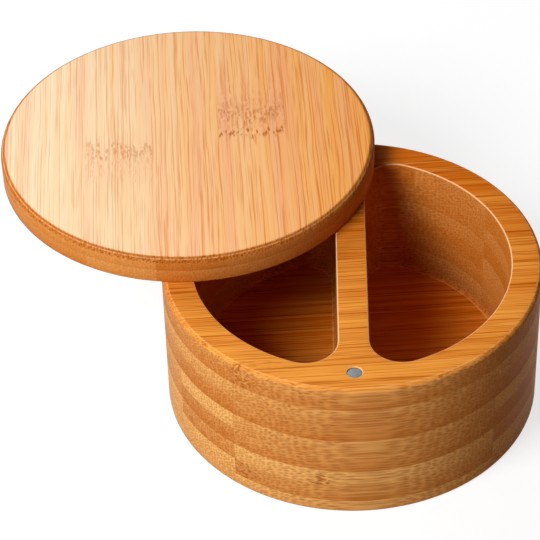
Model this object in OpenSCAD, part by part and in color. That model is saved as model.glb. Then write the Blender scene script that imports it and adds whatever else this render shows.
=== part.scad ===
// Round two-pocket box with a flat lid that swivels on a vertical pin.
// The body and the lid are glued up from flat bamboo plies.
// The origin is the centre of the base. X runs to the right, Y to the back and Z up.
// The divider runs along Y, the pin stands at the back and the magnet lies at the front.

/* [Body] */
// Outside diameter of the body
body_d = 127; // [110:1:150]
// Height of the body without the lid
body_h = 55; // [50:1:75]
// Thickness of the lowest ply
bottom_ply_t = 5; // [3:0.2:7]
// Thickness of the top ply, which forms the rim
rim_ply_t = 8.8; // [6:0.2:12]
// Radius of the rounded outer edge of the rim
rim_round_r = 1.8; // [0.5:0.1:3]
// Radius of the rounded edge under the body
base_round_r = 0.8; // [0.3:0.1:2]

/* [Pockets] */
// Thickness of the wall between a pocket and the outside
wall_t = 10.3; // [7:0.1:14]
// Thickness of the divider between the two pockets
divider_t = 10.2; // [6:0.2:16]
// Radius of the upright corners of a pocket
corner_r = 10.5; // [5:0.5:15]
// Thickness of wood under the pockets
floor_t = 9; // [7:0.5:11]
// Size of the slope between a pocket's floor and its walls
floor_bevel = 1.5; // [0.5:0.1:2]
// Size of the bevel on the top edge of a pocket
pocket_edge_bevel = 0.5; // [0.3:0.1:1.2]

/* [Lid] */
// Distance that the closed lid stands out past the body
lid_overhang = 1.5; // [0:0.1:3]
// Thickness of the lower ply of the lid
lid_lower_ply_t = 5.2; // [4:0.1:7]
// Thickness of the upper ply of the lid
lid_upper_ply_t = 4.8; // [3.5:0.1:7]
// Radius of the rounded upper edge of the lid
lid_round_r = 2.2; // [0.5:0.1:3]
// Radius of the rounded lower edge of the lid
lid_under_round_r = 0.5; // [0.2:0.1:1.5]
// Gap between the rim and the underside of the lid
lid_gap = 0.2; // [0.1:0.05:0.5]
// Angle that the lid is swung open at rest, clockwise from above
open_angle = 87.7; // [0:0.1:180]

/* [Pivot pin] */
// Distance from the outside of the body to the axis of the pin
pivot_inset = 7.5; // [6:0.1:10]
// Diameter of the pin
pin_d = 4; // [3:0.5:6]
// Length of the pin that is pressed into the body
pin_in_body = 13; // [9:0.5:16]
// Length of the pin that stands up into the lid
pin_in_lid = 7; // [6:0.1:7.8]
// Running gap round the pin in the lid
pin_run_gap = 0.05; // [0.02:0.01:0.1]
// Gap above the end of the pin in the lid
pin_end_gap = 0.3; // [0.2:0.1:0.6]
// Size of the bevel on each end of the pin
pin_bevel = 0.4; // [0.2:0.1:0.6]

/* [Magnets] */
// Distance from the outside of the body to the axis of the magnets
magnet_inset = 8.5; // [6:0.1:10]
// Diameter of a magnet
magnet_d = 5; // [4:0.5:8]
// Thickness of a magnet
magnet_t = 3; // [2:0.1:3.4]
// Depth of a magnet's face below the wood round it
magnet_recess = 0.4; // [0.1:0.1:0.8]
// Size of the bevel round a magnet's hole
magnet_hole_bevel = 0.3; // [0.1:0.1:0.5]

/* [Hidden] */
$fn = 96;
body_r = body_d / 2;
lid_r = body_r + lid_overhang;
pocket_r = body_r - wall_t;
divider_half = divider_t / 2;
// Number of plies between the bottom ply and the rim ply: the floor ply and five wall plies
inner_ply_count = 6;
inner_ply_t = (body_h - bottom_ply_t - rim_ply_t) / inner_ply_count;
// Heights of the glue lines, with the base first and the rim last
ply_z = concat([0], [for (i = [0:inner_ply_count]) bottom_ply_t + i * inner_ply_t], [body_h]);
lid_z = body_h + lid_gap;
lid_t = lid_lower_ply_t + lid_upper_ply_t;
pivot_y = body_r - pivot_inset;
magnet_y = magnet_inset - body_r;
// Centre of the rounded corner of a pocket, tangent to the divider and to the round wall
corner_x = divider_half + corner_r;
corner_y = sqrt(pow(pocket_r - corner_r, 2) - pow(corner_x, 2));
// Direction of the corner's centre from the middle of the body
corner_angle = atan2(corner_y, corner_x);
// Length by which a cutter runs past the face that it cuts
past = 1;
bamboo_light = "#E9BC84";
bamboo_mid = "#DBA262";
bamboo_dark = "#C98B4B";
bamboo_rim = "#D98E3F";
steel = "#B9BCC0";
nickel = "#A9ABAD";

// Corner of a square outside its inscribed quarter circle, which rounds an edge when cut away
module round_cutter_2d(r) {
    difference() {
        square(r + past);
        circle(r);
    }
}

// Disc with rounded upper and lower edges, given by its radius, height and edge radii
module rounded_disc(r, h, top_r, bottom_r) {
    rotate_extrude()
        difference() {
            square([r, h]);
            translate([r - top_r, h - top_r])
                round_cutter_2d(top_r);
            translate([r - bottom_r, bottom_r])
                mirror([0, 1])
                    round_cutter_2d(bottom_r);
        }
}

// Part of the plan in which the right pocket's wall is one round arc
module arc_zone_2d() {
    far_x = 2 * pocket_r;
    far_y = far_x * tan(corner_angle);
    polygon([[corner_x, corner_y], [corner_x, -corner_y], [far_x, -far_y], [far_x, far_y]]);
}

// Plan of the right pocket: half of a disc with two rounded corners
module pocket_2d() {
    translate([divider_half, -corner_y])
        square([corner_r, 2 * corner_y]);
    intersection() {
        circle(pocket_r);
        arc_zone_2d();
    }
    for (side = [-1, 1])
        translate([corner_x, side * corner_y])
            circle(corner_r);
}

// Slice of the right pocket whose walls lean: its outline is set outwards by low_out at height 0
// and by high_out at height h
module leaning_slice(low_out, high_out, h) {
    for (side = [-1, 1])
        translate([corner_x, side * corner_y, 0])
            cylinder(r1 = corner_r + low_out, r2 = corner_r + high_out, h = h);
    translate([0, corner_y, 0])
        rotate([90, 0, 0])
            linear_extrude(2 * corner_y)
                polygon([
                    [divider_half - low_out, 0],
                    [corner_x, 0],
                    [corner_x, h],
                    [divider_half - high_out, h]
                ]);
    intersection() {
        cylinder(r1 = pocket_r + low_out, r2 = pocket_r + high_out, h = h);
        linear_extrude(h)
            arc_zone_2d();
    }
}

// Hollow of the right pocket, from its floor to the rim
module pocket_hollow() {
    translate([0, 0, floor_t])
        leaning_slice(-floor_bevel, 0, floor_bevel);
    translate([0, 0, floor_t + floor_bevel])
        linear_extrude(body_h - pocket_edge_bevel - floor_t - floor_bevel)
            pocket_2d();
    translate([0, 0, body_h - pocket_edge_bevel])
        leaning_slice(0, pocket_edge_bevel, pocket_edge_bevel);
}

// Blind hole for the pin, down from the rim
module body_pin_hole() {
    translate([0, pivot_y, body_h - pin_in_body])
        cylinder(d = pin_d, h = pin_in_body + past);
}

// Blind hole for the magnet, down from the rim, with a bevelled mouth
module body_magnet_hole() {
    depth = magnet_recess + magnet_t;
    translate([0, magnet_y, body_h - depth])
        cylinder(d = magnet_d, h = depth + past);
    translate([0, magnet_y, body_h - magnet_hole_bevel])
        cylinder(d1 = magnet_d, d2 = magnet_d + 2 * magnet_hole_bevel, h = magnet_hole_bevel);
}

// Disc that keeps one ply of a round blank, between two heights
module ply_zone(z0, z1) {
    translate([0, 0, z0])
        cylinder(r = lid_r + past, h = z1 - z0);
}

// One ply of the body, counted from 0 at the base
module body_ply(i, tone) {
    color(tone)
        difference() {
            intersection() {
                rounded_disc(body_r, body_h, rim_round_r, base_round_r);
                ply_zone(ply_z[i], ply_z[i + 1]);
            }
            for (side = [0, 1])
                mirror([side, 0, 0])
                    pocket_hollow();
            body_pin_hole();
            body_magnet_hole();
        }
}

// Swings the lid's pieces from closed to open
module swing_open() {
    translate([0, pivot_y, 0])
        rotate(-open_angle)
            translate([0, -pivot_y, 0])
                children();
}

// Blind hole for the pin, up from the underside of the closed lid
module lid_pin_hole() {
    translate([0, pivot_y, lid_z - past])
        cylinder(d = pin_d + 2 * pin_run_gap, h = past + pin_in_lid + pin_end_gap);
}

// Blind hole for the magnet, up from the underside of the closed lid
module lid_magnet_hole() {
    translate([0, magnet_y, lid_z - past])
        cylinder(d = magnet_d, h = past + magnet_recess + magnet_t);
}

// One ply of the lid, between two heights above the lid's underside
module lid_ply(h0, h1, tone) {
    color(tone)
        swing_open()
            difference() {
                intersection() {
                    translate([0, 0, lid_z])
                        rounded_disc(lid_r, lid_t, lid_round_r, lid_under_round_r);
                    ply_zone(lid_z + h0, lid_z + h1);
                }
                lid_pin_hole();
                lid_magnet_hole();
            }
}

module bottom_ply() {
    body_ply(0, bamboo_mid);
}

module floor_ply() {
    body_ply(1, bamboo_dark);
}

// Wall ply by its number, counted from 1 above the floor ply
module wall_ply(number, tone) {
    body_ply(1 + number, tone);
}

module rim_ply() {
    body_ply(1 + inner_ply_count, bamboo_rim);
}

module lid_lower_ply() {
    lid_ply(0, lid_lower_ply_t, bamboo_mid);
}

module lid_upper_ply() {
    lid_ply(lid_lower_ply_t, lid_t, bamboo_light);
}

module pivot_pin() {
    pin_l = pin_in_body + lid_gap + pin_in_lid;
    color(steel)
        translate([0, pivot_y, body_h - pin_in_body]) {
            cylinder(d1 = pin_d - 2 * pin_bevel, d2 = pin_d, h = pin_bevel);
            translate([0, 0, pin_bevel])
                cylinder(d = pin_d, h = pin_l - 2 * pin_bevel);
            translate([0, 0, pin_l - pin_bevel])
                cylinder(d1 = pin_d, d2 = pin_d - 2 * pin_bevel, h = pin_bevel);
        }
}

module body_magnet() {
    color(nickel)
        translate([0, magnet_y, body_h - magnet_recess - magnet_t])
            cylinder(d = magnet_d, h = magnet_t);
}

module lid_magnet() {
    color(nickel)
        swing_open()
            translate([0, magnet_y, lid_z + magnet_recess])
                cylinder(d = magnet_d, h = magnet_t);
}

bottom_ply();
floor_ply();
wall_ply(1, bamboo_mid);  // wall_ply_1
wall_ply(2, bamboo_light);  // wall_ply_2
wall_ply(3, bamboo_dark);  // wall_ply_3
wall_ply(4, bamboo_mid);  // wall_ply_4
wall_ply(5, bamboo_light);  // wall_ply_5
rim_ply();
lid_lower_ply();
lid_upper_ply();
pivot_pin();
body_magnet();
lid_magnet();
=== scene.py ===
"""Round laminated-bamboo box with two pockets and a flat lid that swivels on a hidden pin.

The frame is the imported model: Z up, the divider along Y, the magnet at the front (-Y) and the
pivot pin at the back (+Y). Shapes are in metres, with sizes in millimetres times MM. The grain of
the wood is worked out in millimetres.
"""

import math

import bpy
import numpy as np
from mathutils import Matrix, Vector
from mathutils.geometry import delaunay_2d_cdt


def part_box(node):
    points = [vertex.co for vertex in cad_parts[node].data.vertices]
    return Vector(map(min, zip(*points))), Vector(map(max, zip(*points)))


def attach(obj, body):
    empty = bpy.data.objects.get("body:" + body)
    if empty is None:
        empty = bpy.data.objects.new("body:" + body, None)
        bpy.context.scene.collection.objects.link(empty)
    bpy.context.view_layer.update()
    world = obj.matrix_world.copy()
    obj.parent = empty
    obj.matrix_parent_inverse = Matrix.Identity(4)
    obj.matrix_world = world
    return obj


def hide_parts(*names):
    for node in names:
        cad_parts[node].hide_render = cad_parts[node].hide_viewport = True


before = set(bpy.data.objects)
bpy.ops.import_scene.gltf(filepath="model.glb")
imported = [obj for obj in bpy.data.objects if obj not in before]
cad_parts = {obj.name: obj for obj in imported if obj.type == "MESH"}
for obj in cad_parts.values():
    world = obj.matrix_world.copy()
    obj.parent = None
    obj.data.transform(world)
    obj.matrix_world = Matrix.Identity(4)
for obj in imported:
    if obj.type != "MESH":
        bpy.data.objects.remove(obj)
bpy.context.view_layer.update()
MM = 0.001

# Places and sizes that the frame gives
BODY_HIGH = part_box("rim_ply")[1]
BODY_R = BODY_HIGH.x
BODY_TOP = BODY_HIGH.z
PIN_LOW, PIN_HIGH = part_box("pivot_pin")
PIN_R = (PIN_HIGH.x - PIN_LOW.x) / 2
PIVOT_Y = (PIN_LOW.y + PIN_HIGH.y) / 2
MAGNET_LOW, MAGNET_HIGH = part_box("body_magnet")
MAGNET_R = (MAGNET_HIGH.x - MAGNET_LOW.x) / 2
MAGNET_Y = (MAGNET_LOW.y + MAGNET_HIGH.y) / 2
LID_MAGNET_LOW, LID_MAGNET_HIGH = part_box("lid_magnet")
LID_MAGNET_X = (LID_MAGNET_LOW.x + LID_MAGNET_HIGH.x) / 2
LID_MAGNET_Y = (LID_MAGNET_LOW.y + LID_MAGNET_HIGH.y) / 2

# Angle of the swung lid, from the place of its magnet, and the lid's centre
LID_TURN = math.atan2(LID_MAGNET_X, PIVOT_Y - LID_MAGNET_Y)
LID_X = PIVOT_Y * math.sin(LID_TURN)
LID_Y = PIVOT_Y * (1 - math.cos(LID_TURN))

# Driving dimensions of the wood
WALL_T = 10.3 * MM
DIVIDER_T = 10.2 * MM
CORNER_R = 10.5 * MM
FLOOR_Z = 9 * MM
FLOOR_COVE = 1.5 * MM
POCKET_EDGE = 0.5 * MM
RIM_ROUND = 1.8 * MM
BASE_ROUND = 0.8 * MM
LID_OVERHANG = 1.5 * MM
LID_ROUND = 2.2 * MM
LID_UNDER_ROUND = 0.5 * MM
MAGNET_MOUTH = 0.3 * MM
PIN_RUN_GAP = 0.05 * MM
PIN_END_GAP = 0.3 * MM
PIN_BEVEL = 0.4 * MM
MAGNET_EDGE = 0.25 * MM
NO_EDGE = 0.0

# Plan of the right pocket: a big arc, two corner arcs and a straight along the divider
POCKET_R = BODY_R - WALL_T
CORNER_X = DIVIDER_T / 2 + CORNER_R
CORNER_Y = math.sqrt((POCKET_R - CORNER_R) ** 2 - CORNER_X ** 2)
CORNER_ANGLE = math.atan2(CORNER_Y, CORNER_X)

# Points round a large circle, round a hole, along a pocket's straight and over a rounded edge
ROUND_STEPS = 288
HOLE_STEPS = 64
STRAIGHT_STEPS = 24
EDGE_STEPS = 8
# Edges sharper than this stay sharp. Points nearer than SAME_POINT, in millimetres, are one, and
# heights nearer than SAME_HEIGHT, in metres, are the same.
SHARP_ANGLE = math.radians(35)
SAME_POINT = 1e-6
SAME_HEIGHT = 1e-7


def circle(x, y, r, steps):
    """Points at even angles on a circle of radius r about (x, y), anticlockwise."""
    t = np.arange(steps) * (2 * np.pi / steps)
    return np.column_stack((x + r * np.cos(t), y + r * np.sin(t)))


def pocket_outline(side, out):
    """Outline of a pocket, set outwards by out, anticlockwise.

    The big arc has radius POCKET_R + out about the middle of the body and the corner arcs have
    radius CORNER_R + out about (CORNER_X, +-CORNER_Y), so they stay tangent. side is 1 for the
    right pocket and -1 for its mirror image."""
    big = np.linspace(-CORNER_ANGLE, CORNER_ANGLE, ROUND_STEPS // 2, endpoint=False)
    turn = np.linspace(CORNER_ANGLE, math.pi, ROUND_STEPS // 6, endpoint=False)
    along = np.linspace(1, -1, STRAIGHT_STEPS, endpoint=False)
    corner = (CORNER_R + out) * np.column_stack((np.cos(turn), np.sin(turn)))
    back = corner + (CORNER_X, CORNER_Y)
    straight = np.column_stack((np.full(STRAIGHT_STEPS, DIVIDER_T / 2 - out), CORNER_Y * along))
    turn = turn - CORNER_ANGLE + math.pi
    corner = (CORNER_R + out) * np.column_stack((np.cos(turn), np.sin(turn)))
    front = corner + (CORNER_X, -CORNER_Y)
    arc = (POCKET_R + out) * np.column_stack((np.cos(big), np.sin(big)))
    outline = np.vstack((arc, back, straight, front))
    if side < 0:
        outline = outline[::-1] * (-1, 1)
    return outline


def edge_out(place, height, r):
    """Profile of a rounded outer edge under an upper face: (place, height) pairs on a quarter
    circle of radius r, from the upright wall at place to the face at height."""
    t = np.linspace(0, math.pi / 2, EDGE_STEPS + 1)
    return np.column_stack((place - r + r * np.cos(t), height - r + r * np.sin(t)))


def edge_under(place, height, r):
    """Profile of a rounded outer edge over a lower face, from the face to the upright wall."""
    t = np.linspace(0, math.pi / 2, EDGE_STEPS + 1)
    return np.column_stack((place - r + r * np.sin(t), height + r - r * np.cos(t)))


def outer_profile(place, low, high, under, over):
    """Profile of an outer wall between two heights, with its lower and upper edges rounded."""
    bottom = edge_under(place, low, under) if under else np.array([(place, low)])
    top = edge_out(place, high, over) if over else np.array([(place, high)])
    return np.vstack((bottom, top))


def hole_profile(low, high, cove, mouth):
    """Profile of a hole's wall as (outwards, height) pairs, from its floor to its mouth.

    A cove is a hollow quarter circle from the floor up to the wall, and a mouth is a round one
    from the wall out to the upper face. Either is left out where it is zero."""
    t = np.linspace(0, math.pi / 2, EDGE_STEPS + 1)
    floor = np.column_stack((cove * (np.sin(t) - 1), low + cove * (1 - np.cos(t))))
    rim = np.column_stack((mouth * (1 - np.cos(t)), high - mouth + mouth * np.sin(t)))
    floor = floor if cove else np.array([(0.0, low)])
    rim = rim if mouth else np.array([(0.0, high)])
    return np.vstack((floor, rim))


def inside(points, outline):
    """Whether each point lies inside the outline: a ray to its right crosses the edge an odd
    number of times."""
    a = outline[None]
    b = np.roll(outline, -1, 0)[None]
    p = points[:, None]
    spans = (a[..., 1] > p[..., 1]) != (b[..., 1] > p[..., 1])
    rise = np.where(spans, b[..., 1] - a[..., 1], 1.0)
    x = a[..., 0] + (p[..., 1] - a[..., 1]) * (b[..., 0] - a[..., 0]) / rise
    return (spans & (p[..., 0] < x)).sum(1) % 2 == 1


class Shell:
    """A closed surface made of walls, which are strips between loops, and of flat faces."""

    def __init__(self):
        self.points = np.empty((0, 3))
        self.quads = []
        self.triangles = []

    def loop(self, outline, height):
        """Adds a flat outline at a height and returns the numbers of its points."""
        start = len(self.points)
        level = np.column_stack((outline, np.full(len(outline), height)))
        self.points = np.vstack((self.points, level))
        return np.arange(start, len(self.points))

    def wall(self, loops):
        """Joins each loop to the next with quads: point i and i + 1 of one to those of the next.
        Anticlockwise loops that rise face outwards, and clockwise ones face inwards."""
        for low, high in zip(loops, loops[1:]):
            self.quads.append(np.column_stack((low, np.roll(low, -1), np.roll(high, -1), high)))

    def face(self, outer, holes, up):
        """Fills the flat region inside the outer loop and outside the holes: a Delaunay
        triangulation of all the points that keeps the triangles whose middle is in the wood."""
        loops = [outer, *holes]
        index = np.concatenate(loops)
        flat = self.points[index, :2] / MM
        starts = np.cumsum([0] + [len(loop) for loop in loops])
        rings = [np.arange(a, b) for a, b in zip(starts, starts[1:])]
        edges = np.vstack([np.column_stack((ring, np.roll(ring, -1))) for ring in rings])
        found = delaunay_2d_cdt([Vector(p) for p in flat], edges.tolist(), [], 0, SAME_POINT)
        source = np.array([first[0] for first in found[3]])
        triangles = source[np.array(found[2])]
        corners = flat[triangles]
        middle = corners.mean(1)
        keep = inside(middle, flat[rings[0]])
        for ring in rings[1:]:
            keep &= ~inside(middle, flat[ring])
        one = corners[:, 1] - corners[:, 0]
        two = corners[:, 2] - corners[:, 0]
        turn = one[:, 0] * two[:, 1] - one[:, 1] * two[:, 0]
        triangles[(turn > 0) != up] = triangles[(turn > 0) != up][:, ::-1]
        self.triangles.append(index[triangles[keep]])

    def finish(self, name, material, slot, node, body):
        """Makes the object and puts it in its node's place, with round walls and flat faces."""
        quads = np.vstack(self.quads)
        triangles = np.vstack(self.triangles)
        mesh = bpy.data.meshes.new(name)
        mesh.from_pydata(self.points.tolist(), [], quads.tolist() + triangles.tolist())
        mesh.polygons.foreach_set("use_smooth", [True] * len(quads) + [False] * len(triangles))
        mesh.set_sharp_from_angle(angle=SHARP_ANGLE)
        mesh.materials.append(material)
        piece = bpy.data.objects.new(name, mesh)
        bpy.context.scene.collection.objects.link(piece)
        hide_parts(node)
        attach(piece, body)
        return piece


def round_piece(centre, outer, holes):
    """A round solid with holes down or up into it, or through it.

    outer is its wall's profile of (radius, height) pairs. Each hole is (outline, profile), where
    outline(out) gives the hole's plan set outwards by out."""
    shell = Shell()
    x, y = centre
    loops = [shell.loop(circle(x, y, r, ROUND_STEPS), height) for r, height in outer]
    shell.wall(loops)
    low = outer[0][1]
    high = outer[-1][1]
    in_lower_face = []
    in_upper_face = []
    for outline, profile in holes:
        rings = [shell.loop(outline(out), height) for out, height in profile]
        shell.wall([ring[::-1] for ring in rings])
        if math.isclose(profile[0][1], low, abs_tol=SAME_HEIGHT):
            in_lower_face.append(rings[0])
        else:
            shell.face(rings[0], [], up=True)
        if math.isclose(profile[-1][1], high, abs_tol=SAME_HEIGHT):
            in_upper_face.append(rings[-1])
        else:
            shell.face(rings[-1], [], up=False)
    shell.face(loops[0], in_lower_face, up=False)
    shell.face(loops[-1], in_upper_face, up=True)
    return shell


def hole_plan(x, y, r):
    """The plan of a round hole as a function of how far it is set outwards."""
    return lambda out: circle(x, y, r + out, HOLE_STEPS)


def pocket_plan(side):
    """The plan of a pocket as a function of how far it is set outwards."""
    return lambda out: pocket_outline(side, out)


# Materials


def srgb(text):
    """The linear colour of an sRGB hex value: c / 12.92 below 0.04045, else a 2.4 power."""
    values = [int(text[i:i + 2], 16) / 255 for i in (1, 3, 5)]
    return [v / 12.92 if v <= 0.04045 else ((v + 0.055) / 1.055) ** 2.4 for v in values] + [1.0]


def put(tree, kind, inputs, out=0, **settings):
    """Adds a node with its settings and feeds each input, by its number or name, from a socket or
    with a value. Returns an output of the node.

    A Map Range node takes 0 the value, 1 and 2 the range it comes from, 3 and 4 the one it goes
    to. A Mix node takes 0 the share of the second one, 2 and 3 two numbers or 6 and 7 two colours."""
    node = tree.nodes.new(kind)
    for key, value in settings.items():
        setattr(node, key, value)
    for key, value in inputs.items():
        if isinstance(value, bpy.types.NodeSocket):
            tree.links.new(value, node.inputs[key])
        else:
            node.inputs[key].default_value = value
    return node.outputs[out]


def pattern(tree, kind, place, size, out, **inputs):
    """A texture node whose features are about as large as size, in the units of the place."""
    shrunk = put(tree, "ShaderNodeVectorMath", {0: place, 1: size}, operation="DIVIDE")
    return put(tree, kind, {"Vector": shrunk, "Scale": 1.0, **inputs}, out=out)


# Bamboo, in millimetres: width of a strip and thickness of the glue
STRIP_W = 23.3
GLUE_T = 0.14
# Share of the glue's thickness over which its line is full, and how much of its colour shows
# between strips and between plies
GLUE_CORE = 0.3
SEAM_SHOW = 0.10
GLUE_SHOW = 0.25

# Pitch of the fibre bundles across a strip and up, and how far chance moves each one. Real bundles
# stand 0.6 to 0.9 mm apart, which is too fine to show at this size, so they are drawn coarser.
BUNDLE_ACROSS = 0.95
BUNDLE_UP = 1.15
BUNDLE_CHANCE = 0.55
# Distances from a bundle's middle, in pitches, where it starts to darken and where it is darkest
BUNDLE_EDGE = 0.62
BUNDLE_CORE = 0.12

# Sizes of the patterns along the grain, across it and up, in millimetres: wander of the fibres,
# fine and short streaks, broad bands and pink areas. Strands of fibre are 0.1 to 0.3 mm thick,
# which is finer than the render shows, so the streaks are drawn about half a millimetre wide.
WANDER_SIZE = (45.0, 9.0, 9.0)
FINE_SIZE = (120.0, 0.48, 0.48)
SHORT_SIZE = (14.0, 0.5, 0.5)
BROAD_SIZE = (140.0, 2.6, 2.6)
BLUSH_SIZE = (160.0, 6.0, 6.0)
# How far the fibres wander, and the shift that gives each strip grain of its own
WANDER = (0.0, 1.6, 1.6)
STRIP_SHIFT = (400.0, 90.0, 60.0)
HALF = (0.5, 0.5, 0.5)
# Streaks lie where the fine pattern plus a share of the short one passes these values
SHORT_SHARE = 0.4
STREAK_FROM = 0.70
STREAK_FULL = 0.95

# Growth nodes, in millimetres: sizes of the ruffle, the jags of the row, its flecks and the
# dashes beyond it. Real ones are strokes 0.5 to 1 mm wide, drawn here at the upper end.
RUFFLE_SIZE = (3.2, 1.6, 1.6)
JAG_SIZE = (400.0, 1.2, 1.2)
FLECK_SIZE = (3.0, 0.95, 0.95)
DASH_SIZE = (8.0, 1.2, 1.2)
# How far the fibres are ruffled, the share of it that the streaks take, and how far a row strays
RUFFLE = (0.0, 1.8, 1.8)
STREAK_RUFFLE = 0.4
STRAY = 9.0
# Distances from the middle of a fleck and of a dash, in their sizes, where each starts to darken
# and where it is darkest
FLECK_EDGE = 0.55
FLECK_CORE = 0.33
DASH_EDGE = 0.50
DASH_CORE = 0.25
# Where a row of flecks has faded out and where it is full, in halves of its thickness
ROW_EDGE = 1.6
ROW_CORE = 0.6
# Where the dashes and the pink blush start, are full and end beyond the row, in millimetres
DASH_FULL = 4.0
DASH_END = 14.0
BLUSH_START = -9.0
BLUSH_FULL = 8.0
BLUSH_END = 26.0
# How much of the dashes, of the blush and of all the marks shows
DASH_SHOW = 0.5
BLUSH_SHOW = 0.16
MARKS = 0.85

# Tone of the faces and its change from strip to strip, where 1 is pale
FACE_TONE = 0.5
FACE_STRIPS = 0.15
# On the sides: change of tone through a ply, and shares of the bands, bundles and streaks
THROUGH = 0.35
SIDE_BANDS = 0.35
SIDE_BUNDLE = 0.45
SIDE_STREAKS = 0.4
# Streaks on dark and on pale tissue, as shares of the wood's own amount
DARK_STREAKS = 1.3
PALE_STREAKS = 0.7
# How level a surface is where its rounding starts to change the tone and where it does so fully
ROUND_FROM = 0.1
ROUND_FULL = 0.5
# How level a surface is where it stops being upright and where it clearly leans
UPRIGHT = 0.05
LEANING = 0.35
# How level a face is, and a rounded edge that isn't part of it
FLAT = 0.995
TILTED = 0.93
# Values of the pink pattern where pink starts and is full
ROSY_FROM = 0.45
ROSY_FULL = 0.75
# How much of the pocket walls' own colour shows
INNER_SHOW = 0.7
# Painted highlights on rounded edges: how they fade below and above their range, the values of the
# short pattern between which a patch comes in, and how much shows
HIGHLIGHT_FADE_IN = 0.06
HIGHLIGHT_FADE_OUT = 0.03
PATCH_FROM = 0.3
PATCH_FULL = 0.6
EDGE_HIGHLIGHT = 0.4

# Sanded and oiled surface: least and most roughness, index of refraction, and a low sheen, because
# the oil film is thin and dull. Streaks lie STREAK_DEPTH below the surface, and marks MARK_DEPTH
# times as deep.
SMOOTH = 0.42
ROUGH = 0.55
WOOD_IOR = 1.45
WOOD_SHEEN = 0.04
STREAK_DEPTH = 0.006 * MM
MARK_DEPTH = 4.0
# Range that most of a noise pattern's values lie in
NOISE_LOW = 0.3
NOISE_HIGH = 0.7


def place_in_wood(tree, wood, seed):
    """Where a point lies in the wood and how its surface faces, as sockets by name.

    place is in metres. along, across and up are in millimetres, along the grain and across it
    from the middle of the piece and up from the ground. strips is the place across, counted in
    strips from the seam, strip its whole part and chance a value for that strip. own is the place
    shifted by chance values for each strip, and fibre is own moved by the slow wander. end is the
    squared cosine between the surface's normal and the grain. level is 1 on a flat face and 0 on
    an upright one, and face is how much a surface shows the look of a flat face."""
    place = put(tree, "ShaderNodeTexCoord", {}, out=3)
    normal = put(tree, "ShaderNodeTexCoord", {}, out=1)
    grain = put(tree, "ShaderNodeMapping", {
        0: place, 1: (*wood["centre"], 0), 2: (0, 0, wood["turn"]), 3: (MM, MM, MM),
    }, vector_type="TEXTURE")
    along, across, up = put(tree, "ShaderNodeSeparateXYZ", {0: grain}).node.outputs

    strips = put(tree, "ShaderNodeMath", {0: across, 1: wood["seam"]}, operation="SUBTRACT")
    strips = put(tree, "ShaderNodeMath", {0: strips, 1: STRIP_W}, operation="DIVIDE")
    strip = put(tree, "ShaderNodeMath", {0: strips}, operation="FLOOR")
    key = put(tree, "ShaderNodeCombineXYZ", {0: strip, 1: seed})
    chances = put(tree, "ShaderNodeTexWhiteNoise", {0: key}, out=1, noise_dimensions="3D")
    chance = put(tree, "ShaderNodeSeparateXYZ", {0: chances})
    own = put(tree, "ShaderNodeVectorMath", {0: chances, 1: STRIP_SHIFT, 2: grain},
              operation="MULTIPLY_ADD")
    wander = pattern(tree, "ShaderNodeTexNoise", own, WANDER_SIZE, 1, Detail=1.0)
    wander = put(tree, "ShaderNodeVectorMath", {0: wander, 1: HALF}, operation="SUBTRACT")
    fibre = put(tree, "ShaderNodeVectorMath", {0: wander, 1: WANDER, 2: own},
                operation="MULTIPLY_ADD")

    grain_axis = (math.cos(wood["turn"]), math.sin(wood["turn"]), 0.0)
    end = put(tree, "ShaderNodeVectorMath", {0: normal, 1: grain_axis}, out=1,
              operation="DOT_PRODUCT")
    end = put(tree, "ShaderNodeMath", {0: end, 1: 2.0}, operation="POWER")
    level = put(tree, "ShaderNodeSeparateXYZ", {0: normal}, out=2)
    level = put(tree, "ShaderNodeMath", {0: level}, operation="ABSOLUTE")
    face = put(tree, "ShaderNodeMapRange", {0: level, 1: wood["face_from"], 2: wood["face_to"]})
    return {
        "place": place, "along": along, "across": across, "up": up, "strips": strips,
        "strip": strip, "chance": chance, "own": own, "fibre": fibre, "end": end,
        "level": level, "face": face,
    }


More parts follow.
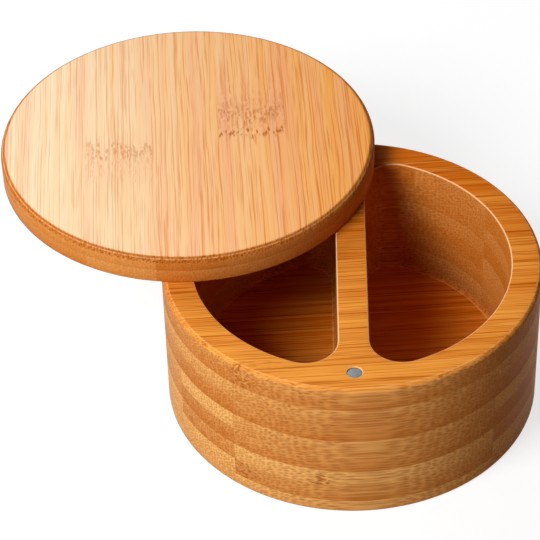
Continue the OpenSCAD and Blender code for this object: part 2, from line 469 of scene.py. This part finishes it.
def growth_marks(tree, wood, growth_nodes, at):
    """Marks where the stem had its joints: a jagged row of dark flecks, with dashes and ruffled
    fibres beyond it, in a pink blush.

    off is how far a point lies beyond the row, in millimetres. The row strays along the grain by
    a chance value that changes from fibre to fibre. Returns the marks, the blush, and the fibres
    with their ruffle."""
    marks = 0.0
    blush = 0.0
    fibre = at["fibre"]
    if not growth_nodes:
        return marks, blush, fibre
    ruffle = pattern(tree, "ShaderNodeTexNoise", at["own"], RUFFLE_SIZE, 1, Detail=1.0)
    ruffle = put(tree, "ShaderNodeVectorMath", {0: ruffle, 1: HALF}, operation="SUBTRACT")
    ruffle = put(tree, "ShaderNodeVectorMath", {0: ruffle, 1: RUFFLE}, operation="MULTIPLY")
    ruffled = put(tree, "ShaderNodeVectorMath", {0: at["own"], 1: ruffle}, operation="ADD")
    fleck = pattern(tree, "ShaderNodeTexVoronoi", ruffled, FLECK_SIZE, 0)
    fleck = put(tree, "ShaderNodeMapRange", {0: fleck, 1: FLECK_EDGE, 2: FLECK_CORE})
    dash = pattern(tree, "ShaderNodeTexVoronoi", ruffled, DASH_SIZE, 0)
    dash = put(tree, "ShaderNodeMapRange", {0: dash, 1: DASH_EDGE, 2: DASH_CORE})
    jag = pattern(tree, "ShaderNodeTexNoise", at["own"], JAG_SIZE, 0, Detail=0.0)
    for row_along, row_across, strength, thick, way in growth_nodes:
        number = math.floor((row_across - wood["seam"]) / STRIP_W)
        here = put(tree, "ShaderNodeMath", {0: at["strip"], 1: number, 2: 0.5}, operation="COMPARE")
        off = put(tree, "ShaderNodeMath", {0: jag, 1: STRAY, 2: -STRAY / 2 - row_along},
                  operation="MULTIPLY_ADD")
        off = put(tree, "ShaderNodeMath", {0: at["along"], 1: off}, operation="ADD")
        off = put(tree, "ShaderNodeMath", {0: off, 1: way}, operation="MULTIPLY")

        # Flecks in the row and dashes beyond it
        away = put(tree, "ShaderNodeMath", {0: off}, operation="ABSOLUTE")
        row = put(tree, "ShaderNodeMapRange", {0: away, 1: ROW_EDGE * thick, 2: ROW_CORE * thick},
                  interpolation_type="SMOOTHSTEP")
        row = put(tree, "ShaderNodeMath", {0: row, 1: fleck}, operation="MULTIPLY")
        beyond = put(tree, "ShaderNodeMapRange", {
            0: off, 1: DASH_END, 2: DASH_FULL, 3: 0.0, 4: DASH_SHOW,
        })
        start = put(tree, "ShaderNodeMapRange", {0: off, 1: 0.0, 2: DASH_FULL})
        beyond = put(tree, "ShaderNodeMath", {0: beyond, 1: start}, operation="MULTIPLY")
        beyond = put(tree, "ShaderNodeMath", {0: beyond, 1: dash}, operation="MULTIPLY")
        row = put(tree, "ShaderNodeMath", {0: row, 1: beyond}, operation="MAXIMUM")
        row = put(tree, "ShaderNodeMath", {0: row, 1: strength}, operation="MULTIPLY")
        marks = put(tree, "ShaderNodeMath", {0: row, 1: here, 2: marks},
                    operation="MULTIPLY_ADD")

        # Blush and ruffle round them
        near = put(tree, "ShaderNodeMapRange", {0: off, 1: BLUSH_END, 2: BLUSH_FULL},
                   interpolation_type="SMOOTHSTEP")
        start = put(tree, "ShaderNodeMapRange", {0: off, 1: BLUSH_START, 2: 0.0},
                    interpolation_type="SMOOTHSTEP")
        near = put(tree, "ShaderNodeMath", {0: near, 1: start}, operation="MULTIPLY")
        near = put(tree, "ShaderNodeMath", {0: near, 1: here}, operation="MULTIPLY")
        blush = put(tree, "ShaderNodeMath", {0: near, 1: blush}, operation="ADD")
        near = put(tree, "ShaderNodeMath", {0: near, 1: STREAK_RUFFLE}, operation="MULTIPLY")
        shift = put(tree, "ShaderNodeVectorMath", {0: ruffle, 3: near}, operation="SCALE")
        fibre = put(tree, "ShaderNodeVectorMath", {0: fibre, 1: shift}, operation="ADD")
    marks = put(tree, "ShaderNodeMath", {0: marks, 1: MARKS}, operation="MULTIPLY",
                use_clamp=True)
    return marks, blush, fibre


def fibre_bundles(tree, fibre):
    """Fibre bundles: dark rods along the grain, each column half a row higher than the last."""
    rods = put(tree, "ShaderNodeSeparateXYZ", {0: fibre}).node.outputs
    column = put(tree, "ShaderNodeMath", {0: rods[1], 1: BUNDLE_ACROSS}, operation="DIVIDE")
    row = put(tree, "ShaderNodeMath", {0: rods[2], 1: BUNDLE_UP}, operation="DIVIDE")
    row = put(tree, "ShaderNodeMath", {0: column, 1: 0.5, 2: row}, operation="MULTIPLY_ADD")
    rods = put(tree, "ShaderNodeCombineXYZ", {0: column, 1: row})
    rods = put(tree, "ShaderNodeTexVoronoi", {0: rods, 2: 1.0, 8: BUNDLE_CHANCE},
               voronoi_dimensions="2D")
    return put(tree, "ShaderNodeMapRange", {0: rods, 1: BUNDLE_EDGE, 2: BUNDLE_CORE})


def fibre_streaks(tree, fibre):
    """Fine and short patterns along the grain, and the streaks where they are both high."""
    fine = pattern(tree, "ShaderNodeTexNoise", fibre, FINE_SIZE, 0, Detail=0.0)
    short = pattern(tree, "ShaderNodeTexNoise", fibre, SHORT_SIZE, 0, Detail=0.0)
    streak = put(tree, "ShaderNodeMath", {0: short, 1: SHORT_SHARE, 2: fine},
                 operation="MULTIPLY_ADD")
    streak = put(tree, "ShaderNodeMapRange", {0: streak, 1: STREAK_FROM, 2: STREAK_FULL})
    return fine, short, streak


def face_tissue(tree, wood, at, band):
    """Ground tissue on the flat faces: how pale it is, and its colour.

    Paleness is FACE_TONE plus the band, a slope across the wood and a chance value of the strip. The
    slope is painted light: painted shade on the body, darker towards the back, and painted sheen on
    the lid, paler towards the left."""
    light = put(tree, "ShaderNodeMath", {0: at["across"], 1: wood["painted_light_slope"], 2: band},
                operation="MULTIPLY_ADD")
    light = put(tree, "ShaderNodeMath", {0: at["chance"], 1: FACE_STRIPS, 2: light},
                operation="MULTIPLY_ADD")
    light = put(tree, "ShaderNodeMath", {0: light, 1: FACE_TONE - FACE_STRIPS / 2},
                operation="ADD", use_clamp=True)
    colour = put(tree, "ShaderNodeMix", {
        0: light, 6: srgb(wood["dark"]), 7: srgb(wood["light"]),
    }, out=2, data_type="RGBA")
    return light, colour


def side_tissue(tree, wood, at, band, tone, ply):
    """Ground tissue on the sides, darker low in a ply and paler high in it.

    Paleness is the ply's tone plus the band, the strip's own tone on upright walls, and the
    change of tone that the wood has on rounded edges."""
    through = put(tree, "ShaderNodeMapRange", {
        0: at["up"], 1: ply[0], 2: ply[1], 3: tone - THROUGH / 2, 4: tone + THROUGH / 2,
    })
    light = put(tree, "ShaderNodeMath", {0: band, 1: SIDE_BANDS, 2: through},
                operation="MULTIPLY_ADD")
    on_round = put(tree, "ShaderNodeMapRange", {
        0: at["level"], 1: ROUND_FROM, 2: ROUND_FULL, 3: 0.0, 4: wood["round_tone"],
    })
    light = put(tree, "ShaderNodeMath", {0: light, 1: on_round}, operation="ADD")
    upright = put(tree, "ShaderNodeMapRange", {0: at["level"], 3: wood["side_strips"], 4: 0.0})
    own_tone = put(tree, "ShaderNodeMath", {0: at["chance"], 1: 0.5}, operation="SUBTRACT")
    light = put(tree, "ShaderNodeMath", {0: own_tone, 1: upright, 2: light},
                operation="MULTIPLY_ADD", use_clamp=True)
    return put(tree, "ShaderNodeMix", {
        0: light, 6: srgb(wood["side_dark"]), 7: srgb(wood["side_light"]),
    }, out=2, data_type="RGBA")


def pocket_walls(tree, wood, at, side):
    """The deeper colour of the pocket walls, laid over the side's colour, and the share of painted
    highlight on the rounded edge of their mouths. A point is in a pocket by its reach from the
    middle."""
    flat_place = put(tree, "ShaderNodeVectorMath", {0: at["place"], 1: (1.0, 1.0, 0.0)},
                     operation="MULTIPLY")
    reach = put(tree, "ShaderNodeVectorMath", {0: flat_place}, out=1, operation="LENGTH")
    within = put(tree, "ShaderNodeMapRange", {
        0: reach, 1: BODY_R - 2 * RIM_ROUND, 2: POCKET_R + 2 * POCKET_EDGE, 3: 0.0, 4: INNER_SHOW,
    })
    side = put(tree, "ShaderNodeMix", {0: within, 6: side, 7: srgb(wood["inner"])}, out=2,
               data_type="RGBA")
    # Painted highlight on the rounded mouth of the pockets, near the top and on tilted surfaces
    mouth = put(tree, "ShaderNodeMapRange", {
        0: at["up"], 1: (BODY_TOP - POCKET_EDGE) / MM, 2: (BODY_TOP - POCKET_EDGE / 2) / MM,
    })
    mouth = put(tree, "ShaderNodeMath", {0: mouth, 1: within}, operation="MULTIPLY")
    tilted = put(tree, "ShaderNodeMapRange", {0: at["level"], 1: FLAT, 2: TILTED})
    mouth = put(tree, "ShaderNodeMath", {0: mouth, 1: tilted}, operation="MULTIPLY")
    return side, mouth


def dark_fibres(tree, wood, at, light, bundle, streak):
    """How dark the bundles and streaks are at a point.

    Bundles show most on the ends of the strips and least on the faces. Streaks show less on
    upright walls than on faces, and less on pale tissue than on dark. light is how pale it is."""
    weight = put(tree, "ShaderNodeMapRange", {0: at["end"], 3: SIDE_BUNDLE, 4: wood["end_bundle"]})
    sharp = put(tree, "ShaderNodeMapRange", {
        0: at["level"], 1: UPRIGHT, 2: LEANING, 3: wood["upright_bundle"], 4: 1.0,
    })
    weight = put(tree, "ShaderNodeMath", {0: weight, 1: sharp}, operation="MULTIPLY")
    weight = put(tree, "ShaderNodeMix", {0: at["face"], 2: weight, 3: wood["face_bundle"]})
    streaks = put(tree, "ShaderNodeMapRange", {
        0: light, 3: DARK_STREAKS * wood["streaks"], 4: PALE_STREAKS * wood["streaks"],
    })
    shown = put(tree, "ShaderNodeMapRange", {0: at["level"], 3: SIDE_STREAKS, 4: 1.0})
    streaks = put(tree, "ShaderNodeMath", {0: streaks, 1: shown}, operation="MULTIPLY")
    dark = put(tree, "ShaderNodeMath", {0: bundle, 1: weight}, operation="MULTIPLY")
    dark = put(tree, "ShaderNodeMath", {0: streak, 1: streaks, 2: dark},
               operation="MULTIPLY_ADD")
    return put(tree, "ShaderNodeMath", {0: dark, 1: 1.0}, operation="MINIMUM")


def painted_edge_highlight(tree, wood, at, short):
    """Share of painted highlight on the rounded edges: a pale colour in short patches, in the band of
    levels that the wood gives.
    """
    low, high = wood["edge_highlight"]
    rise = put(tree, "ShaderNodeMapRange", {0: at["level"], 1: low - HIGHLIGHT_FADE_IN, 2: low})
    fall = put(tree, "ShaderNodeMapRange", {0: at["level"], 1: high + HIGHLIGHT_FADE_OUT, 2: high})
    edge_highlight = put(tree, "ShaderNodeMath", {0: rise, 1: fall}, operation="MULTIPLY")
    patchy = put(tree, "ShaderNodeMapRange", {
        0: short, 1: PATCH_FROM, 2: PATCH_FULL, 3: 0.0, 4: EDGE_HIGHLIGHT,
    })
    return put(tree, "ShaderNodeMath", {0: edge_highlight, 1: patchy}, operation="MULTIPLY")


def glue(tree, at, heights):
    """Share of glue: a thin line at each seam between strips and at each glued height."""
    line = put(tree, "ShaderNodeMath", {0: at["strips"], 1: 0.5}, operation="PINGPONG")
    line = put(tree, "ShaderNodeMapRange", {
        0: line, 1: GLUE_T / STRIP_W, 2: GLUE_CORE * GLUE_T / STRIP_W, 3: 0.0, 4: SEAM_SHOW,
    })
    for height in heights:
        off = put(tree, "ShaderNodeMath", {0: at["up"], 1: height}, operation="SUBTRACT")
        off = put(tree, "ShaderNodeMath", {0: off}, operation="ABSOLUTE")
        off = put(tree, "ShaderNodeMapRange", {
            0: off, 1: GLUE_T, 2: GLUE_CORE * GLUE_T, 3: 0.0, 4: GLUE_SHOW,
        })
        line = put(tree, "ShaderNodeMath", {0: line, 1: off}, operation="MAXIMUM")
    return line


def bamboo(name, wood, tone, seed, ply, glue_lines, growth_nodes):
    """Laminated bamboo, split into strips, planed, glued side by side, sanded and oiled.

    It gives the eye straight fibres, seen as streaks along the strips and as dots on their ends,
    a change of tone at every strip and ply, thin glue lines, and a ruffled row of marks at each
    growth node. All of it is a pattern in the solid, in millimetres along the grain, across it
    and up. tone is the ply's tone, where 1 is pale, and seed gives its strips their chance
    values. ply is its lower and upper height, glue_lines are the heights of its glued faces, and
    growth_nodes its rows of marks."""
    material = bpy.data.materials.new(name)
    material.use_nodes = True
    tree = material.node_tree
    shader = tree.nodes["Principled BSDF"]
    at = place_in_wood(tree, wood, seed)
    marks, blush, fibre = growth_marks(tree, wood, growth_nodes, at)
    bundle = fibre_bundles(tree, fibre)
    fine, short, streak = fibre_streaks(tree, fibre)

    # Ground tissue on the faces and on the sides
    band = pattern(tree, "ShaderNodeTexNoise", fibre, BROAD_SIZE, 0, Detail=2.0)
    band = put(tree, "ShaderNodeMath", {0: band, 1: wood["bands"], 2: -wood["bands"] / 2},
               operation="MULTIPLY_ADD")
    light, face = face_tissue(tree, wood, at, band)
    side = side_tissue(tree, wood, at, band, tone, ply)
    mouth = 0.0
    if "inner" in wood:
        side, mouth = pocket_walls(tree, wood, at, side)
    colour = put(tree, "ShaderNodeMix", {0: at["face"], 6: side, 7: face}, out=2, data_type="RGBA")

    # Pink areas, dark fibres, marks, painted highlights on the edges and glue, one over the other
    rosy = pattern(tree, "ShaderNodeTexNoise", fibre, BLUSH_SIZE, 0, Detail=1.0)
    rosy = put(tree, "ShaderNodeMapRange", {
        0: rosy, 1: ROSY_FROM, 2: ROSY_FULL, 3: 0.0, 4: wood["rosy"],
    })
    rosy = put(tree, "ShaderNodeMath", {0: blush, 1: BLUSH_SHOW, 2: rosy},
               operation="MULTIPLY_ADD", use_clamp=True)
    rosy = put(tree, "ShaderNodeMath", {0: rosy, 1: at["face"]}, operation="MULTIPLY")
    dark = dark_fibres(tree, wood, at, light, bundle, streak)
    dark_colour = put(tree, "ShaderNodeMix", {
        0: at["face"], 6: srgb(wood["side_fibre"]), 7: srgb(wood["fibre"]),
    }, out=2, data_type="RGBA")
    # Painted highlight on the rounded edges and on the rounded mouths of the pockets
    edge_highlight = painted_edge_highlight(tree, wood, at, short)
    edge_highlight = put(tree, "ShaderNodeMath", {0: edge_highlight, 1: mouth}, operation="MAXIMUM")
    for share, over in (
        (rosy, srgb(wood["blush"])),
        (dark, dark_colour),
        (marks, srgb(wood["mark"])),
        (edge_highlight, srgb(wood["edge"])),
        (glue(tree, at, glue_lines), srgb(wood["glue"])),
    ):
        colour = put(tree, "ShaderNodeMix", {0: share, 6: colour, 7: over}, out=2,
                     data_type="RGBA")
    tree.links.new(colour, shader.inputs["Base Color"])

    # Sheen and relief: marks and fibres lie a little below the sanded surface
    rough = put(tree, "ShaderNodeMapRange", {
        0: fine, 1: NOISE_LOW, 2: NOISE_HIGH, 3: SMOOTH, 4: ROUGH,
    })
    tree.links.new(rough, shader.inputs["Roughness"])
    depth = put(tree, "ShaderNodeMath", {0: marks, 1: MARK_DEPTH, 2: dark},
                operation="MULTIPLY_ADD")
    height = put(tree, "ShaderNodeMath", {0: depth, 1: -1.0}, operation="MULTIPLY")
    bump = put(tree, "ShaderNodeBump", {0: 1.0, 1: STREAK_DEPTH, 3: height})
    tree.links.new(bump, shader.inputs["Normal"])
    shader.inputs["IOR"].default_value = WOOD_IOR
    shader.inputs["Specular IOR Level"].default_value = WOOD_SHEEN
    return material


# Size of the grinding rings on the pin, which lie a ninth of a millimetre apart, and of the scuffs
# on the nickel
RING_SIZE = (10 * MM, 10 * MM, MM / 9)
SCUFF_SIZE = (0.625 * MM, 0.625 * MM, 0.625 * MM)


def ground_steel():
    """Steel dowel, ground to size between wheels: bright bare metal, with faint rings round it
    that dull the shine a little."""
    material = bpy.data.materials.new("ground steel")
    material.use_nodes = True
    tree = material.node_tree
    shader = tree.nodes["Principled BSDF"]
    shader.inputs["Metallic"].default_value = 1.0
    place = put(tree, "ShaderNodeTexCoord", {}, out=3)
    rings = pattern(tree, "ShaderNodeTexNoise", place, RING_SIZE, 0, Detail=2.0)
    colour = put(tree, "ShaderNodeMix", {0: rings, 6: srgb("#A9ABAE"), 7: srgb("#C9CBCE")}, out=2,
                 data_type="RGBA")
    tree.links.new(colour, shader.inputs["Base Color"])
    rough = put(tree, "ShaderNodeMapRange", {
        0: rings, 1: NOISE_LOW, 2: NOISE_HIGH, 3: 0.22, 4: 0.36,
    })
    tree.links.new(rough, shader.inputs["Roughness"])
    return material


def nickel_plate():
    """Magnet with plated nickel: grey metal, dulled and lightly scuffed by handling, so that it
    reflects the room softly."""
    material = bpy.data.materials.new("nickel plate")
    material.use_nodes = True
    tree = material.node_tree
    shader = tree.nodes["Principled BSDF"]
    shader.inputs["Metallic"].default_value = 1.0
    place = put(tree, "ShaderNodeTexCoord", {}, out=3)
    scuff = pattern(tree, "ShaderNodeTexNoise", place, SCUFF_SIZE, 0, Detail=3.0, Roughness=0.6)
    colour = put(tree, "ShaderNodeMix", {0: scuff, 6: srgb("#5E6063"), 7: srgb("#86888A")}, out=2,
                 data_type="RGBA")
    tree.links.new(colour, shader.inputs["Base Color"])
    rough = put(tree, "ShaderNodeMapRange", {
        0: scuff, 1: NOISE_LOW, 2: NOISE_HIGH, 3: 0.30, 4: 0.48,
    })
    tree.links.new(rough, shader.inputs["Roughness"])
    return material


# Wood of the body and of the lid.
# centre and turn: the middle of the piece, and the direction of the grain from +X.
# seam: the place of a seam between strips, across the grain from the middle, in millimetres.
# painted_light_slope: change of tone for each millimetre across the grain, a painted shade on the
# body and a painted sheen on the lid.
# bands, streaks and rosy: how strong the broad bands, the streaks and the pink areas are.
# face_from and face_to: how level a surface is where it starts to look like a face and does so fully.
# face_bundle, end_bundle and upright_bundle: how dark the bundles are on faces, on strip ends and,
# as a share, on upright walls.
# side_strips: change of tone from strip to strip on upright walls.
# round_tone: change of tone on rounded edges.
# edge_highlight: how level a rounded edge is where its painted highlight lies, from and to.
# light, dark, side_light and side_dark: pale and dark tissue on the faces and on the sides.
# inner: pocket walls. edge: painted highlight on rounded edges. blush: pink areas. fibre and
# side_fibre: bundles and streaks.
# mark: marks of growth nodes. glue: glue lines.
BODY_WOOD = {
    "centre": (0.0, 0.0),
    "turn": math.radians(4.1),
    "seam": -0.3,
    # Painted shade: the body's faces darken towards the back.
    "painted_light_slope": -0.007,
    "bands": 1.5,
    "streaks": 0.80,
    "face_from": 0.40,
    "face_to": 0.75,
    "face_bundle": 0.10,
    "end_bundle": 0.38,
    "upright_bundle": 1.0,
    "side_strips": 1.1,
    "round_tone": 0.0,
    # Painted highlight: a pale band where the rounded rim starts to fall away from the face, in the
    # edge colour below.
    "edge_highlight": (0.93, 0.965),
    "rosy": 0.15,
    "light": "#F9A744",
    "dark": "#CE6500",
    "side_light": "#F7C174",
    "side_dark": "#CE8036",
    "inner": "#C67222",
    # Colour of the painted highlight on the rounded edges and the pockets' mouths.
    "edge": "#FFD09A",
    "blush": "#E58B3C",
    "fibre": "#B05200",
    "mark": "#9A5412",
    "side_fibre": "#9A4E14",
    "glue": "#8A4A1B",
}
LID_WOOD = {
    "centre": (LID_X, LID_Y),
    "turn": math.radians(93.5),
    "seam": -10.9,
    # Painted sheen: the lid's faces pale towards the left.
    "painted_light_slope": 0.0085,
    "bands": 0.65,
    "streaks": 0.54,
    "face_from": 0.93,
    "face_to": 0.995,
    "face_bundle": 0.08,
    "end_bundle": 0.95,
    "upright_bundle": 0.25,
    "side_strips": 0.8,
    "round_tone": -0.38,
    # Painted highlight: a pale line midway round the lid's rounded edge.
    "edge_highlight": (0.70, 0.78),
    "rosy": 0.45,
    "light": "#FFE8C0",
    "dark": "#FFB257",
    "side_light": "#EAAA5E",
    "side_dark": "#BE620A",
    # Colour of the painted highlight on the lid's rounded edge.
    "edge": "#FFD29A",
    "blush": "#F8AE88",
    "fibre": "#DC7A30",
    "mark": "#B8662A",
    "side_fibre": "#924400",
    "glue": "#9A5A2A",
}

# Plies from the lowest up: tone, where 1 is pale, seed of the strips' chance values, and growth
# nodes. Each growth node has its place along the grain and across it, its strength, half the
# thickness of its row, and 1 or -1 for the side that its dashes lie on, in millimetres.
BODY_PLIES = {
    # The two lowest plies are paler, partly their own tone and partly painted light from the floor's
    # bounce on the foot of the box.
    "bottom_ply": (0.78, 203, []),
    "floor_ply": (0.64, 234, [(-41.0, -52.0, 0.9, 2.5, 1)]),
    "wall_ply_1": (0.58, 813, [(-15.0, -52.0, 0.9, 2.0, 1)]),
    "wall_ply_2": (0.50, 29, []),
    "wall_ply_3": (0.50, 631, []),
    "wall_ply_4": (0.50, 1370, []),
    "wall_ply_5": (0.45, 975, []),
    "rim_ply": (0.40, 1097, [(-41.0, -52.0, 0.9, 2.5, 1)]),
}
LID_PLIES = {
    # The lid's seeds are picked so that the strip at the right of its edge, which lies in shade,
    # comes out dark: partly painted shade.
    "lid_lower_ply": (0.50, 1991, []),
    "lid_upper_ply": (0.52, 4640, [
        (1.0, -22.0, 1.0, 1.5, 1), (12.0, -22.0, 0.5, 3.4, 1), (-6.0, 24.0, 0.45, 3.4, -1),
    ]),
}


# Plies of the body


def body_holes(node, low, high):
    """Holes in a ply of the body: the pockets, the pin's hole and the magnet's hole."""
    holes = []
    if node != "bottom_ply":
        cove = FLOOR_COVE if node == "floor_ply" else NO_EDGE
        mouth = POCKET_EDGE if node == "rim_ply" else NO_EDGE
        start = FLOOR_Z if node == "floor_ply" else low
        for side in (1, -1):
            holes.append((pocket_plan(side), hole_profile(start, high, cove, mouth)))
    if PIN_LOW.z < high:
        plan = hole_plan(0, PIVOT_Y, PIN_R)
        holes.append((plan, hole_profile(max(low, PIN_LOW.z), high, NO_EDGE, NO_EDGE)))
    if node == "rim_ply":
        plan = hole_plan(0, MAGNET_Y, MAGNET_R)
        holes.append((plan, hole_profile(MAGNET_LOW.z, high, NO_EDGE, MAGNET_MOUTH)))
    return holes


base_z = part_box("bottom_ply")[0].z
for node, (tone, seed, growth_nodes) in BODY_PLIES.items():
    low, high = (corner.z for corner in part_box(node))
    under = BASE_ROUND if node == "bottom_ply" else NO_EDGE
    over = RIM_ROUND if node == "rim_ply" else NO_EDGE
    glued = [z / MM for z in (low, high) if base_z < z < BODY_TOP]
    wood = bamboo("bamboo, " + node.replace("_", " "), BODY_WOOD, tone, seed,
                  (low / MM, high / MM), glued, growth_nodes)
    profile = outer_profile(BODY_R, low, high, under, over)
    shell = round_piece((0, 0), profile, body_holes(node, low, high))
    shell.finish(node + "_wood", wood, "body_bamboo", node, "box")

# Plies of the lid: the pin's hole goes through the lower one and ends over the pin in the upper one
LID_R = BODY_R + LID_OVERHANG
for node, (tone, seed, growth_nodes) in LID_PLIES.items():
    low, high = (corner.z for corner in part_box(node))
    lower = node == "lid_lower_ply"
    under = LID_UNDER_ROUND if lower else NO_EDGE
    over = NO_EDGE if lower else LID_ROUND
    pin_top = PIN_HIGH.z + PIN_END_GAP
    pin_plan = hole_plan(0, PIVOT_Y, PIN_R + PIN_RUN_GAP)
    holes = [(pin_plan, hole_profile(low, high if lower else pin_top, NO_EDGE, NO_EDGE))]
    if lower:
        plan = hole_plan(LID_MAGNET_X, LID_MAGNET_Y, MAGNET_R)
        holes.append((plan, hole_profile(low, LID_MAGNET_HIGH.z, NO_EDGE, NO_EDGE)))
    glued = [high / MM if lower else low / MM]
    wood = bamboo("bamboo, " + node.replace("_", " "), LID_WOOD, tone, seed,
                  (low / MM, high / MM), glued, growth_nodes)
    shell = round_piece((LID_X, LID_Y), outer_profile(LID_R, low, high, under, over), holes)
    shell.finish(node + "_wood", wood, "lid_bamboo", node, "lid")

# Pivot pin and the two magnets
steel = ground_steel()
nickel = nickel_plate()
pin = outer_profile(PIN_R, PIN_LOW.z, PIN_HIGH.z, PIN_BEVEL, PIN_BEVEL)
shell = round_piece((0, PIVOT_Y), pin, [])
shell.finish("pivot_pin_steel", steel, "pin_steel", "pivot_pin", "box")
for node, place, low, high, body in (
    ("body_magnet", (0, MAGNET_Y), MAGNET_LOW.z, MAGNET_HIGH.z, "box"),
    ("lid_magnet", (LID_MAGNET_X, LID_MAGNET_Y), LID_MAGNET_LOW.z, LID_MAGNET_HIGH.z, "lid"),
):
    disc = outer_profile(MAGNET_R, low, high, MAGNET_EDGE, MAGNET_EDGE)
    shell = round_piece(place, disc, [])
    shell.finish(node + "_disc", nickel, "magnet_nickel", node, body)


# Floor, light and camera

# Paper's colour as it lights the object and as it is seen, its glow where it is seen, the
# strength of the world where it lights the object, and the side of the floor in metres
FLOOR_BOUNCE = "#A08460"
FLOOR_SEEN = "#9C9C9C"
FLOOR_GLOW = 0.75
AMBIENT = 0.02
FLOOR_SIZE = 6.0
# Point that the camera looks at, the camera's angles in degrees, its distance in metres and the
# length of its lens in millimetres
AIM = Vector((-27.85, 23.61, 30.0)) * MM
CAMERA_AZIMUTH = 1.45
CAMERA_ELEVATION = 40.95
CAMERA_ROLL = -1.64
CAMERA_DISTANCE = 0.8519
CAMERA_LENS = 163.4
# Lamps: angle from +X towards +Y and elevation in degrees, distance and side in metres, power in
# watts, and colour
LAMPS = {
    "key_lamp": (-134, 42, 1.1, 0.45, 11.2, "#FFFFFF"),
    "back_lamp": (120, 33, 1.2, 0.8, 7.4, "#FFFFFF"),
    "front_lamp": (-120, 18, 1.2, 0.5, 2.8, "#FFE8E0"),
    "warm_fill": (15, 20, 1.2, 0.8, 0.6, "#FFA050"),
}


def seen_directly(tree):
    """1 where the camera, a reflection or a view through glass sees the surface, else 0."""
    seen = put(tree, "ShaderNodeLightPath", {}).node.outputs
    direct = put(tree, "ShaderNodeMath", {0: seen["Is Camera Ray"], 1: seen["Is Glossy Ray"]},
                 operation="MAXIMUM")
    return put(tree, "ShaderNodeMath", {0: direct, 1: seen["Is Transmission Ray"]},
               operation="MAXIMUM")


def studio_paper():
    """Matt white paper: white to the camera and to reflections, with the object's shadow."""
    material = bpy.data.materials.new("studio paper")
    material.use_nodes = True
    tree = material.node_tree
    shader = tree.nodes["Principled BSDF"]
    shader.inputs["Roughness"].default_value = 1.0
    shader.inputs["Specular IOR Level"].default_value = 0.0
    direct = seen_directly(tree)
    colour = put(tree, "ShaderNodeMix", {0: direct, 6: srgb(FLOOR_BOUNCE), 7: srgb(FLOOR_SEEN)},
                 out=2, data_type="RGBA")
    tree.links.new(colour, shader.inputs["Base Color"])
    glow = put(tree, "ShaderNodeMath", {0: direct, 1: FLOOR_GLOW}, operation="MULTIPLY")
    shader.inputs["Emission Color"].default_value = (1, 1, 1, 1)
    tree.links.new(glow, shader.inputs["Emission Strength"])
    return material


def soft_lamp(name, angle, elevation, distance, size, power, colour):
    """A square lamp aimed at the object from a distance. angle is from +X towards +Y."""
    lamp = bpy.data.lights.new(name, "AREA")
    lamp.size = size
    lamp.energy = power
    lamp.color = srgb(colour)[:3]
    lamp.shape = "SQUARE"
    a = math.radians(angle)
    e = math.radians(elevation)
    away = Vector((math.cos(a) * math.cos(e), math.sin(a) * math.cos(e), math.sin(e)))
    holder = bpy.data.objects.new(name, lamp)
    turn = away.to_track_quat("Z", "Y").to_matrix().to_4x4()
    holder.matrix_world = Matrix.Translation(AIM + away * distance) @ turn
    bpy.context.scene.collection.objects.link(holder)


plane = bpy.data.meshes.new("studio floor")
half = FLOOR_SIZE / 2
plane.from_pydata([(-half, -half, 0), (half, -half, 0), (half, half, 0), (-half, half, 0)], [],
                  [(0, 1, 2, 3)])
plane.materials.append(studio_paper())
floor = bpy.data.objects.new("studio floor", plane)
bpy.context.scene.collection.objects.link(floor)

for name, settings in LAMPS.items():
    soft_lamp(name, *settings)

# White where it is seen, and a faint light on the object
world = bpy.data.worlds.new("studio")
world.use_nodes = True
bpy.context.scene.world = world
sky = world.node_tree
strength = put(sky, "ShaderNodeMapRange", {
    0: seen_directly(sky), 1: 0.0, 2: 1.0, 3: AMBIENT, 4: 1.0,
})
background = sky.nodes["Background"]
background.inputs["Color"].default_value = (1, 1, 1, 1)
sky.links.new(strength, background.inputs["Strength"])

camera = bpy.data.cameras.new("camera")
camera.lens = CAMERA_LENS
camera.sensor_width = 36.0
camera.clip_start = 0.01
camera.clip_end = 50.0
viewer = bpy.data.objects.new("camera", camera)
turn = (Matrix.Rotation(math.radians(CAMERA_AZIMUTH), 4, "Z")
        @ Matrix.Rotation(math.radians(90 - CAMERA_ELEVATION), 4, "X")
        @ Matrix.Rotation(math.radians(CAMERA_ROLL), 4, "Z"))
viewer.matrix_world = Matrix.Translation(AIM + turn.col[2].to_3d() * CAMERA_DISTANCE) @ turn
bpy.context.scene.collection.objects.link(viewer)
bpy.context.scene.camera = viewer
bpy.context.scene.view_settings.view_transform = "Standard"
